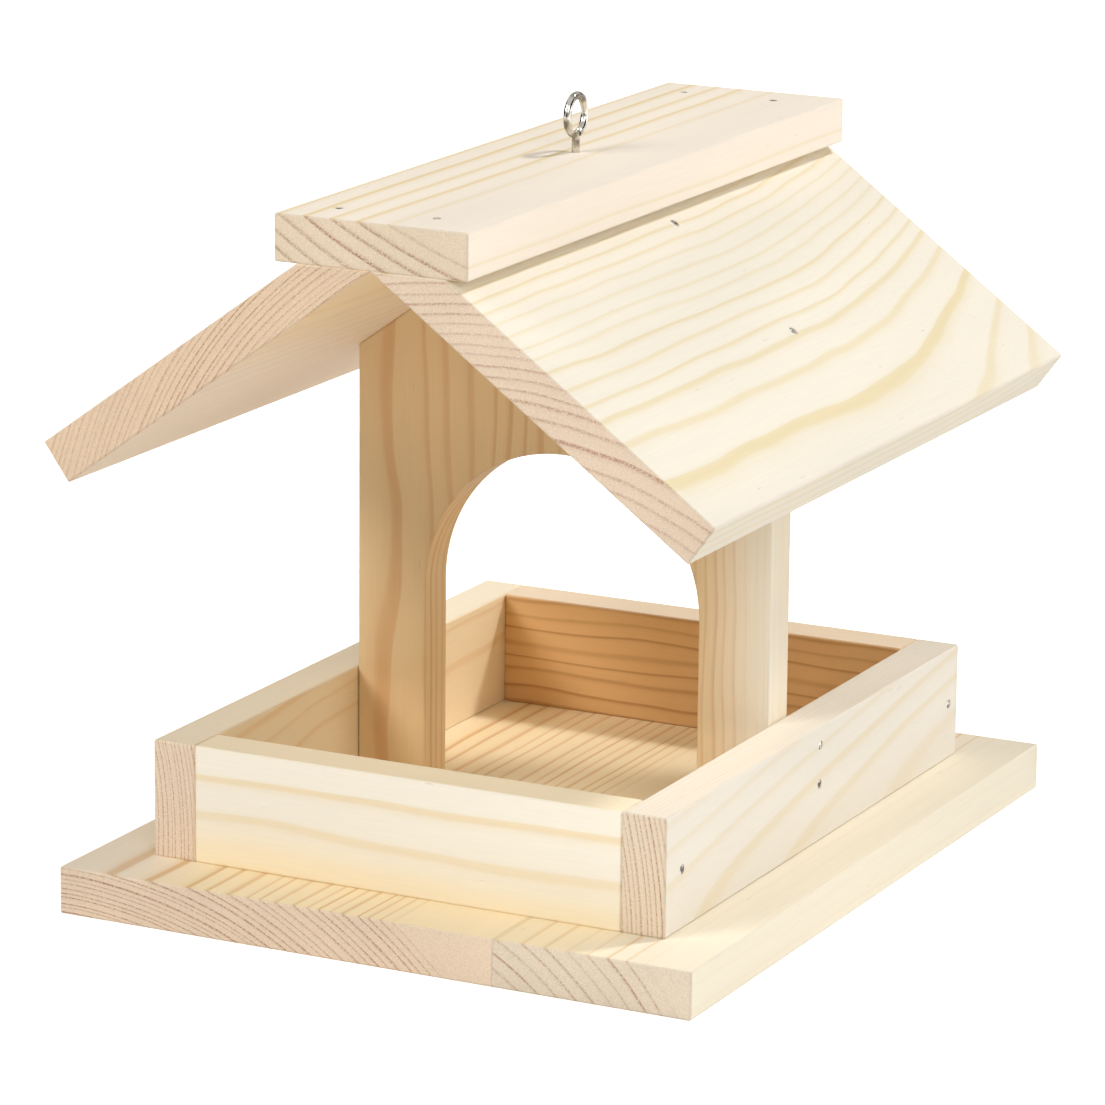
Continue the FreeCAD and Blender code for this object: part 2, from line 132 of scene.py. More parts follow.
class Grain(Enum):
    """Which way a board's fibres run."""

    ACROSS = (1.0, 0.0, 0.0)
    ALONG_RIDGE = (0.0, 1.0, 0.0)
    UPRIGHT = (0.0, 0.0, 1.0)

    @property
    def axis(self) -> Vector:
        """The fibres' direction."""
        return Vector(self.value)


@dataclass(frozen=True)
class PlanedPine:
    """Untreated pine, planed and lightly sanded, cut from a log whose pith line is known.

    Growth rings lie round the pith line, so the lines on the faces meet the arcs on the board's ends.
    To the eye it is a matt cream wood with soft honey lines, and its sawn ends are pinker and rougher.

    Attributes:
        name: the material's name.
        grain: which way the fibres run.
        pith: a point of the pith line, in millimetres.
        growth: how far from the pith the rings have a width, and that width, in millimetres.
        early: colour of the wood between the lines, on planed faces.
        late: colour of the lines there.
        end_early: colour of the wood between the lines, on sawn ends.
        end_late: colour of the lines there.
        lean: how far the pith line leaves the grain's direction, in degrees, two ways.
        sweep: how far the pith has bent off its line, in millimetres, two ways, one sweep length behind.
        sweep_length: that length, in millimetres.
        wave: how far the rings sway, in millimetres.
        wave_length: over what length they do, in millimetres.
        spread: how uneven the rings' widths are, as a share of a ring.
        contrast: how strongly the lines show on the faces.
        end_contrast: how strongly they show on the ends.
        lines: how strongly the lines show at distances from the pith, from 0 to 1.
        line_width: how much of a ring its line takes.
        heart: colour of the wood nearer the pith, on planed faces.
        heart_ends: between which distances from the pith it turns into the early colour.
        painted_top_light: colour of the faces that look up, painted paler: painted light from above.
        seed: moves the random patterns.
    """

    name: str
    grain: Grain
    pith: Point
    growth: Table
    early: str
    late: str
    end_early: str = "#f1dcbf"
    end_late: str = "#c99d7a"
    lean: tuple[float, float] = (0.0, 0.0)
    sweep: tuple[float, float] = (0.0, 0.0)
    sweep_length: float = 100.0
    wave: float = 0.5
    wave_length: float = 70.0
    spread: float = 0.25
    contrast: float = 0.8
    end_contrast: float = 0.9
    lines: Table = ((0.0, 1.0), (400.0, 1.0))
    line_width: float = 0.42
    heart: str = ""
    heart_ends: tuple[float, float] = (0.0, 1.0)
    painted_top_light: str = ""
    seed: float = 0.0

    def log_direction(self) -> Vector:
        """Leans the grain's direction by two small angles.

        Returns:
            The pith line's direction.
        """
        axis = self.grain.axis
        first = Vector((axis.y, axis.z, axis.x))
        second = axis.cross(first)
        turned = Matrix.Rotation(math.radians(self.lean[0]), 3, second) @ axis
        return Matrix.Rotation(math.radians(self.lean[1]), 3, first) @ turned

    def in_log(self, graph: Graph) -> Socket:
        """Measures the points in the log's own frame, with a bent pith straightened.

        Args:
            graph: the material's tree.

        Returns:
            The point in millimetres, with its third number along the pith.
        """
        place = graph.add("TexCoord").outputs["Object"]
        turn = self.log_direction().to_track_quat("Z", "Y").to_euler()
        straight = graph.add(
            "Mapping",
            {"vector_type": "TEXTURE"},
            Vector=place,
            Location=tuple(part * MM for part in self.pith),
            Rotation=tuple(turn),
            Scale=(MM, MM, MM),
        ).outputs["Vector"]
        along = graph.add("SeparateXYZ", Vector=straight).outputs["Z"]
        behind = graph.add("Math", {"operation": "MAXIMUM"}, i0=along, i1=0.0).outputs["Value"]
        squared = graph.add("Math", {"operation": "MULTIPLY"}, i0=behind, i1=behind).outputs["Value"]
        bend = tuple(-part / self.sweep_length**2 for part in self.sweep)
        return graph.add(
            "VectorMath", {"operation": "MULTIPLY_ADD"}, i0=squared, i1=(*bend, 0.0), i2=straight
        ).outputs["Vector"]

    def drawn_noise(
        self, graph: Graph, log_point: Socket, across: float, along: float, detail: float
    ) -> bpy.types.Node:
        """Noise drawn out along the fibres.

        Args:
            graph: the material's tree.
            log_point: the point in the log's frame.
            across: its size across the fibres, in millimetres.
            along: its size along them.
            detail: how many finer layers it has.

        Returns:
            The noise node.
        """
        squeezed = graph.add(
            "VectorMath",
            {"operation": "MULTIPLY_ADD"},
            i0=log_point,
            i1=(1 / across, 1 / across, 1 / along),
            i2=(self.seed, self.seed * 1.7, self.seed * 0.3),
        ).outputs["Vector"]
        return graph.add("TexNoise", Vector=squeezed, Scale=1.0, Detail=detail)

    def distance_from_pith(self, graph: Graph, log_point: Socket) -> Socket:
        """Measures how far a point lies from the pith, with the sway that real rings have.

        Args:
            graph: the material's tree.
            log_point: the point in the log's frame.

        Returns:
            The distance in millimetres.
        """
        sway = self.drawn_noise(graph, log_point, self.wave_length * 0.5, self.wave_length, 1.0)
        centred = graph.add(
            "VectorMath", {"operation": "SUBTRACT"}, i0=sway.outputs["Color"], i1=(0.5, 0.5, 0.5)
        ).outputs["Vector"]
        swayed = graph.add(
            "VectorMath",
            {"operation": "MULTIPLY_ADD"},
            i0=centred,
            i1=(NOISE_GAIN * self.wave, NOISE_GAIN * self.wave, 0.0),
            i2=log_point,
        ).outputs["Vector"]
        flat = graph.add(
            "VectorMath", {"operation": "MULTIPLY"}, i0=swayed, i1=(1.0, 1.0, 0.0)
        ).outputs["Vector"]
        return graph.add("VectorMath", {"operation": "LENGTH"}, i0=flat).outputs["Value"]

    def years(self, graph: Graph, distance: Socket) -> Socket:
        """Counts the rings between the pith and a point, from the table of growth.

        Args:
            graph: the material's tree.
            distance: how far the point lies from the pith.

        Returns:
            The number of rings, with a fraction for the part of the last year.
        """
        reach, counted, places = 0.0, 0.0, [(0.0, 0.0)]
        for far, width in self.growth:
            counted += (far - reach) / width
            reach = far
            places.append((reach, counted))
        share = graph.add("Math", {"operation": "DIVIDE"}, i0=distance, i1=reach).outputs["Value"]
        curve = graph.add("FloatCurve", Value=share)
        self.draw_curve(curve, [(at / reach, count / counted) for at, count in places], "VECTOR")
        even = graph.add(
            "Math", {"operation": "MULTIPLY"}, i0=curve.outputs["Value"], i1=counted
        ).outputs["Value"]
        # good and poor years follow each other every two or three
        slow = graph.add("TexNoise", {"noise_dimensions": "1D"}, W=even, Scale=0.43, Detail=1.0)
        return graph.add(
            "Math",
            {"operation": "MULTIPLY_ADD"},
            i0=slow.outputs["Fac"],
            i1=NOISE_GAIN * self.spread,
            i2=even,
        ).outputs["Value"]

    @staticmethod
    def draw_curve(node: bpy.types.Node, places: Sequence[tuple[float, float]], handle: str) -> None:
        """Gives a curve node its points.

        Args:
            node: the curve node.
            places: the points, from the first to the last.
            handle: what the line does at them: VECTOR keeps it straight between them, AUTO rounds it.
        """
        points = node.mapping.curves[0].points
        for at, height in places[1:-1]:
            points.new(at, height)
        points[0].location, points[-1].location = places[0], places[-1]
        for point in points:
            point.handle_type = handle
        node.mapping.update()

    def late_wood(self, graph: Graph, distance: Socket) -> Socket:
        """Finds the late wood, which darkens slowly through a year and stops sharply.

        Args:
            graph: the material's tree.
            distance: how far the point lies from the pith.

        Returns:
            How much late wood there is, from 0 to 1.
        """
        years = self.years(graph, distance)
        season = graph.add("Math", {"operation": "FRACT"}, i0=years).outputs["Value"]
        year = graph.add("Math", {"operation": "FLOOR"}, i0=years).outputs["Value"]
        curve = graph.add("FloatCurve", Value=season)
        wide = self.line_width
        # rows of a time of the year and how much late wood grows then
        shape = (
            (0.0, 0.4),
            (0.09, 0.02),
            (1 - wide, 0.0),
            (1 - wide * 0.5, 0.3),
            (1 - wide * 0.2, 1.0),
            (1.0, 0.4),
        )
        self.draw_curve(curve, shape, "AUTO")
        chance = graph.add("TexWhiteNoise", {"noise_dimensions": "1D"}, W=year).outputs["Value"]
        share = graph.add("MapRange", Value=chance, To_Min=0.5, To_Max=1.0).outputs["Result"]
        uneven = graph.add(
            "Math", {"operation": "MULTIPLY"}, i0=curve.outputs["Value"], i1=share
        ).outputs["Value"]
        return graph.add(
            "Math", {"operation": "MULTIPLY"}, i0=uneven, i1=self.line_strength(graph, distance)
        ).outputs["Value"]

    def line_strength(self, graph: Graph, distance: Socket) -> Socket:
        """Reads the table of lines.

        Args:
            graph: the material's tree.
            distance: how far the point lies from the pith.

        Returns:
            How strongly the lines show there, from 0 to 1.
        """
        reach = self.lines[-1][0]
        share = graph.add("Math", {"operation": "DIVIDE"}, i0=distance, i1=reach).outputs["Value"]
        curve = graph.add("FloatCurve", Value=share)
        self.draw_curve(curve, [(at / reach, strength) for at, strength in self.lines], "VECTOR")
        return curve.outputs["Value"]

    def early_wood(self, graph: Graph, distance: Socket) -> Socket | Colour:
        """Colours the wood between the lines on planed faces.

        Args:
            graph: the material's tree.
            distance: how far the point lies from the pith.

        Returns:
            One colour, or a socket where the wood nearer the pith has another.
        """
        if not self.heart:
            return linear(self.early)
        near, far = self.heart_ends
        share = graph.add(
            "MapRange", {"interpolation_type": "SMOOTHSTEP"}, Value=distance, From_Min=near, From_Max=far
        ).outputs["Result"]
        return graph.add(
            "Mix", {"data_type": "RGBA"}, i0=share, i6=linear(self.heart), i7=linear(self.early)
        ).outputs[2]

    def end_grain(self, graph: Graph) -> Socket:
        """Tells sawn ends from planed faces.

        Args:
            graph: the material's tree.

        Returns:
            1 on a face sawn across the fibres and 0 on one along them.
        """
        normal = graph.add("NewGeometry").outputs["Normal"]
        along = graph.add(
            "VectorMath", {"operation": "DOT_PRODUCT"}, i0=normal, i1=tuple(self.grain.axis)
        ).outputs["Value"]
        size = graph.add("Math", {"operation": "ABSOLUTE"}, i0=along).outputs["Value"]
        return graph.add(
            "MapRange", {"interpolation_type": "SMOOTHSTEP"}, Value=size, From_Min=0.45, From_Max=0.9
        ).outputs["Result"]

    def colour(
        self,
        graph: Graph,
        log_point: Socket,
        distance: Socket,
        late: Socket,
        end: Socket,
        fibres: Socket,
    ) -> Socket:
        """Mixes the wood's colour.

        Args:
            graph: the material's tree.
            log_point: the point in the log's frame.
            distance: how far it lies from the pith.
            late: how much late wood there is.
            end: how much of the face is sawn end.
            fibres: the noise of single fibres.

        Returns:
            The colour's socket.
        """
        # on the sawn ends the late wood breaks up into pores, drawn a little coarser than real ones
        pores = self.drawn_noise(graph, log_point, *PORES, detail=1.0).outputs["Fac"]
        broken = graph.add(
            "MapRange", Value=pores, From_Min=0.32, From_Max=0.64, To_Min=0.25, To_Max=1.15
        ).outputs["Result"]
        end_late = graph.add("Math", {"operation": "MULTIPLY"}, i0=late, i1=broken).outputs["Value"]
        end_share = graph.add(
            "Math", {"operation": "MULTIPLY", "use_clamp": True}, i0=end_late, i1=self.end_contrast
        ).outputs["Value"]
        face_share = graph.add(
            "Math", {"operation": "MULTIPLY", "use_clamp": True}, i0=late, i1=self.contrast
        ).outputs["Value"]
        face, sawn = (
            graph.add("Mix", {"data_type": "RGBA"}, i0=share, i6=first, i7=linear(second)).outputs[2]
            for share, first, second in (
                (face_share, self.early_wood(graph, distance), self.late),
                (end_share, linear(self.end_early), self.end_late),
            )
        )
        # painted light: faces that look up are given a paler colour, as if lit from above
        if self.painted_top_light:
            normal = graph.add("NewGeometry").outputs["Normal"]
            upwards = graph.add("SeparateXYZ", Vector=normal).outputs["Z"]
            share = graph.add(
                "MapRange", Value=upwards, From_Min=0.6, From_Max=0.95, To_Max=0.85
            ).outputs["Result"]
            face = graph.add(
                "Mix", {"data_type": "RGBA"}, i0=share, i6=face, i7=linear(self.painted_top_light)
            ).outputs[2]
        wood = graph.add("Mix", {"data_type": "RGBA"}, i0=end, i6=face, i7=sawn).outputs[2]

        # resin ducts: thin brown dashes, far apart
        ducts = self.drawn_noise(graph, log_point, *DUCTS, detail=0.0).outputs["Fac"]
        duct = graph.add(
            "MapRange", Value=ducts, From_Min=0.84, From_Max=0.9, To_Max=0.28
        ).outputs["Result"]
        marked = graph.add("Mix", {"data_type": "RGBA"}, i0=duct, i6=wood, i7=linear(RESIN)).outputs[2]

        # cloudy patches, and the fibres' own fine light and dark
        patches = self.drawn_noise(graph, log_point, *PATCHES, detail=1.0).outputs["Fac"]
        cloud = graph.add(
            "MapRange", Value=patches, From_Min=0.3, From_Max=0.7, To_Min=0.96, To_Max=1.02
        ).outputs["Result"]
        coarse = graph.add("MapRange", Value=end, To_Min=0.985, To_Max=0.83).outputs["Result"]
        thread = graph.add(
            "MapRange", Value=fibres, From_Min=0.3, From_Max=0.7, To_Min=coarse, To_Max=1.02
        ).outputs["Result"]
        shade = graph.add("Math", {"operation": "MULTIPLY"}, i0=cloud, i1=thread).outputs["Value"]
        return graph.add("VectorMath", {"operation": "SCALE"}, i0=marked, Scale=shade).outputs["Vector"]

    def material(self) -> bpy.types.Material:
        """Builds the material.

        Returns:
            The finished material, named for the board.
        """
        made = bpy.data.materials.new(self.name)
        graph = Graph(made)
        log_point = self.in_log(graph)
        distance = self.distance_from_pith(graph, log_point)
        late = self.late_wood(graph, distance)
        end = self.end_grain(graph)
        # fibres drawn as thick as some ten real ones side by side
        fibres = self.drawn_noise(graph, log_point, *FIBRES, detail=2.0).outputs["Fac"]
        colour = self.colour(graph, log_point, distance, late, end, fibres)

        # planed faces are a little smoother than the sawn ends, and late wood is denser and smoother
        rough = graph.add("MapRange", Value=end, To_Min=0.58, To_Max=0.78).outputs["Result"]
        roughness = graph.add(
            "Math", {"operation": "MULTIPLY_ADD"}, i0=late, i1=-0.08, i2=rough
        ).outputs["Value"]
        # late wood stands a few hundredths of a millimetre proud, and the sawn fibres are 0.05 mm deep
        height = graph.add(
            "Math", {"operation": "MULTIPLY_ADD"}, i0=late, i1=0.3, i2=fibres
        ).outputs["Value"]
        depth = graph.add("MapRange", Value=end, To_Min=0.12, To_Max=0.6).outputs["Result"]
        # the boards' edges are rubbed down with fine paper
        eased = graph.add("Bevel", {"samples": 4}, Radius=0.6 * MM).outputs["Normal"]
        bump = graph.add(
            "Bump", Strength=depth, Distance=0.05 * MM, Height=height, Normal=eased
        ).outputs["Normal"]
        shader = graph.add(
            "BsdfPrincipled",
            Base_Color=colour,
            Roughness=roughness,
            Normal=bump,
            IOR=1.5,
            Specular_IOR_Level=0.35,
        ).outputs["BSDF"]
        graph.add("OutputMaterial", Surface=shader)
        return made


@dataclass(frozen=True)
class WireMetal:
    """Drawn wire, bare or plated.

    To the eye it is a bright metal that mirrors the room a little blurred, with rougher clouds painted
    darker: painted dark reflections.

    Attributes:
        name: the material's name.
        colour: its colour where it is bright.
        painted_dark_reflection: its colour inside the clouds, a painted dark reflection.
        roughness: how much it blurs what it mirrors.
        cloud: how wide the clouds are, in millimetres.
        cloud_edge: the noise's values between which the bright metal turns to the painted dark reflection.
        painted_dark_share: how much of the painted dark reflection it takes inside them, from 0 to 1.
        drawing_mark: how wide the marks of the drawing are, in millimetres.
    """

    name: str
    colour: str
    painted_dark_reflection: str
    roughness: float
    cloud: float = 1.5
    cloud_edge: tuple[float, float] = (0.55, 0.8)
    painted_dark_share: float = 0.5
    drawing_mark: float = 0.12

    def material(self) -> bpy.types.Material:
        """Builds the metal.

        Returns:
            The finished material.
        """
        made = bpy.data.materials.new(self.name)
        graph = Graph(made)
        place = graph.add("TexCoord").outputs["Object"]
        # painted reflection: inside the noise's clouds the colour turns dark, standing in for dark
        # reflections; the same noise makes the metal rougher there
        rough_and_painted_dark = graph.add("TexNoise", Vector=place, Scale=1 / (self.cloud * MM), Detail=3.0).outputs["Fac"]
        bright, clouded = self.cloud_edge
        share = graph.add(
            "MapRange", Value=rough_and_painted_dark, From_Min=bright, From_Max=clouded, To_Max=self.painted_dark_share
        ).outputs["Result"]
        colour = graph.add(
            "Mix", {"data_type": "RGBA"}, i0=share, i6=linear(self.colour), i7=linear(self.painted_dark_reflection)
        ).outputs[2]
        roughness = graph.add(
            "MapRange", Value=rough_and_painted_dark, To_Min=self.roughness * 0.7, To_Max=self.roughness * 1.3
        ).outputs["Result"]
        marks = graph.add("TexNoise", Vector=place, Scale=1 / (self.drawing_mark * MM)).outputs["Fac"]
        bump = graph.add("Bump", Strength=0.06, Distance=0.01 * MM, Height=marks).outputs["Normal"]
        shader = graph.add(
            "BsdfPrincipled", Base_Color=colour, Metallic=1.0, Roughness=roughness, Normal=bump
        ).outputs["BSDF"]
        graph.add("OutputMaterial", Surface=shader)
        return made


def dress(node: str, finish: PlanedPine) -> None:
    """Gives a board of the frame its finish.

    Args:
        node: the board's name.
        finish: its wood.
    """
    made = finish.material()
    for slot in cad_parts[node].material_slots:
        slot.material = made
    log.info("%s is dressed in %s", node, made.name)


def new_piece(
    name: str, form: bmesh.types.BMesh, finish: bpy.types.Material
) -> bpy.types.Object:
    """Makes a piece of the scene from a form, and lets it ride on the table.

    Args:
        name: the piece's name.
        form: its mesh, which is freed.
        finish: its material.

    Returns:
        The piece.
    """
    mesh = bpy.data.meshes.new(name)
    bmesh.ops.recalc_face_normals(form, faces=form.faces)
    for face in form.faces:
        face.smooth = True
    form.to_mesh(mesh)
    form.free()
    mesh.set_sharp_from_angle(angle=math.radians(CRISP_EDGE))
    mesh.materials.append(finish)
    made = bpy.data.objects.new(name, mesh)
    bpy.context.collection.objects.link(made)
    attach(made, "root")
    return made


def skin(form: bmesh.types.BMesh, rings: Sequence[Sequence[Vector]]) -> None:
    """Skins a row of rings of points into one closed form, with both ends capped.

    Args:
        form: the mesh that gets it.
        rings: rings of as many points each.
    """
    rows = [[form.verts.new(point) for point in ring] for ring in rings]
    for row, following in zip(rows, rows[1:]):
        for at, start in enumerate(row):
            beside = (at + 1) % len(row)
            form.faces.new((start, row[beside], following[beside], following[at]))
    form.faces.new(list(reversed(rows[0])))
    form.faces.new(rows[-1])


@dataclass
class Base:
    """The base board: two staves glued edge to edge.

    Attributes:
        left: the wide stave's wood.
        right: the narrow stave's wood.
    """

    left: PlanedPine = PlanedPine(
        name="planed_pine_base_left",
        grain=Grain.ALONG_RIDGE,
        pith=(-85.0, 0.0, -107.0),
        growth=((121.0, 1.3), (260.0, 1.95)),
        early="#fce9c3",
        late="#d8a45b",
        end_early="#f5ddc1",
        end_late="#ad714d",
        wave=0.35,
        contrast=0.75,
        lines=((0.0, 1.0), (147.0, 1.0), (152.0, 0.0), (260.0, 0.0)),
        line_width=0.5,
        heart="#fbeed8",
        heart_ends=(119.5, 124.0),
        seed=3.0,
    )
    right: PlanedPine = PlanedPine(
        name="planed_pine_base_right",
        grain=Grain.ALONG_RIDGE,
        pith=(1.0, 0.0, -54.5),
        growth=((260.0, 3.64),),
        early="#f0e6d0",
        late="#d9b272",
        end_early="#efdec6",
        end_late="#b98a6b",
        wave=0.35,
        spread=0.1,
        contrast=0.62,
        lines=(
            (0.0, 1.0),
            (83.0, 1.0),
            (88.0, 0.35),
            (92.0, 1.0),
            (98.5, 1.0),
            (101.0, 0.1),
            (260.0, 0.1),
        ),
        line_width=0.35,
        heart="#fbeac6",
        heart_ends=(82.0, 97.0),
        seed=11.0,
    )

    def build(self) -> None:
        """Dresses both staves."""
        dress("base_stave_left", self.left)
        dress("base_stave_right", self.right)


@dataclass
class Tray:
    """The tray's four slats.

    Attributes:
        left: the left slat's wood.
        right: the right slat's.
        front: the front slat's.
        back: the back slat's.
    """

    left: PlanedPine = PlanedPine(
        name="planed_pine_rim_left",
        grain=Grain.ALONG_RIDGE,
        pith=(-170.0, 0.0, 20.0),
        growth=((300.0, 1.25),),
        early="#fbe6c0",
        late="#edc084",
        end_early="#f3dcc2",
        end_late="#b78464",
        lean=(1.0, 0.2),
        contrast=0.5,
        # painted light: the slat's top is painted paler
        painted_top_light="#f3e9d2",
        seed=21.0,
    )
    right: PlanedPine = PlanedPine(
        name="planed_pine_rim_right",
        grain=Grain.ALONG_RIDGE,
        pith=(-77.5, 0.0, 8.0),
        growth=((300.0, 1.4),),
        early="#ebe3d5",
        late="#e0c892",
        end_early="#f1dec4",
        end_late="#b98868",
        lean=(1.3, 0.0),
        wave=0.3,
        wave_length=110.0,
        contrast=0.38,
        line_width=0.6,
        seed=31.0,
    )
    front: PlanedPine = PlanedPine(
        name="planed_pine_rim_front",
        grain=Grain.ACROSS,
        pith=(0.0, -60.0, -20.0),
        growth=((300.0, 10.0),),
        early="#fdf5e4",
        late="#eecb7e",
        lean=(0.5, 1.5),
        wave=1.6,
        contrast=0.45,
        line_width=0.45,
        heart="#fcecca",
        heart_ends=(46.0, 56.0),
        # painted light: the slat's top is painted paler
        painted_top_light="#fbeccb",
        seed=41.0,
    )
    back: PlanedPine = PlanedPine(
        name="planed_pine_rim_back",
        grain=Grain.ACROSS,
        pith=(0.0, 110.0, -35.0),
        growth=((300.0, 3.9),),
        # painted shade: this wood is darker and more orange than the other slats', standing in for the
        # shade inside the tray; its top is painted paler: painted light
        early="#e8bb82",
        late="#ad6c33",
        wave=1.1,
        wave_length=40.0,
        contrast=0.6,
        line_width=0.45,
        painted_top_light="#f4e4cb",
        seed=51.0,
    )

    def build(self) -> None:
        """Dresses the slats."""
        dress("rim_left", self.left)
        dress("rim_right", self.right)
        dress("rim_front", self.front)
        dress("rim_back", self.back)


@dataclass
class Panel:
    """The upright panel with its arched doorway.

    Attributes:
        finish: its wood.
    """

    finish: PlanedPine = PlanedPine(
        name="planed_pine_panel",
        grain=Grain.UPRIGHT,
        pith=(-69.0, 68.0, 0.0),
        growth=((95.0, 3.02), (300.0, 2.4)),
        early="#f4e9d4",
        late="#cb8744",
        lean=(0.4, 0.3),
        wave=1.0,
        wave_length=50.0,
        contrast=0.48,
        lines=((0.0, 1.0), (95.0, 1.0), (110.0, 0.7), (136.0, 0.8), (144.0, 0.15), (300.0, 0.1)),
        line_width=0.6,
        heart="#edcd9c",
        heart_ends=(128.0, 150.0),
        seed=61.0,
    )

    def build(self) -> None:
        """Dresses the panel."""
        dress("upright_panel", self.finish)


@dataclass
class Roof:
    """The two sloping boards and the ridge board.

    Attributes:
        left: the left board's wood.
        right: the right board's.
        ridge: the ridge board's.
    """

    left: PlanedPine = PlanedPine(
        name="planed_pine_roof_left",
        grain=Grain.ALONG_RIDGE,
        pith=(59.0, 0.0, 75.0),
        growth=((400.0, 1.5),),
        early="#f9e8d2",
        late="#e3b77b",
        end_early="#ecd0b1",
        end_late="#ab7550",
        wave=0.3,
        contrast=0.38,
        lines=(
            (0.0, 0.8),
            (121.0, 0.6),
            (126.0, 1.0),
            (132.0, 1.0),
            (136.0, 0.5),
            (149.0, 0.6),
            (400.0, 0.9),
        ),
        line_width=0.5,
        heart="#f6d9a8",
        heart_ends=(110.0, 126.0),
        seed=71.0,
    )
    right: PlanedPine = PlanedPine(
        name="planed_pine_roof_right",
        grain=Grain.ALONG_RIDGE,
        pith=(34.7, 10.0, 17.1),
        growth=((131.5, 3.77), (300.0, 2.5)),
        early="#efe6d4",
        late="#e0c988",
        end_early="#eed7bd",
        end_late="#b58161",
        sweep=(-4.2, 5.8),
        wave=0.4,
        wave_length=40.0,
        spread=0.1,
        contrast=0.78,
        lines=((0.0, 0.45), (118.0, 0.55), (122.0, 1.0), (129.0, 1.0), (136.0, 0.7), (300.0, 0.6)),
        line_width=0.5,
        seed=81.0,
    )
    ridge: PlanedPine = PlanedPine(
        name="planed_pine_ridge",
        grain=Grain.ALONG_RIDGE,
        pith=(85.0, 0.0, 350.0),
        growth=((400.0, 3.8),),
        early="#f5e8d6",
        late="#e6cc8f",
        end_early="#ecd8bc",
        end_late="#ab7c5a",
        wave=0.4,
        spread=0.12,
        contrast=0.95,
        lines=((0.0, 0.0), (178.0, 0.0), (184.0, 1.0), (400.0, 1.0)),
        line_width=0.5,
        seed=91.0,
    )

    def build(self) -> None:
        """Dresses the boards."""
        dress("roof_left", self.left)
        dress("roof_right", self.right)
        dress("ridge_board", self.ridge)


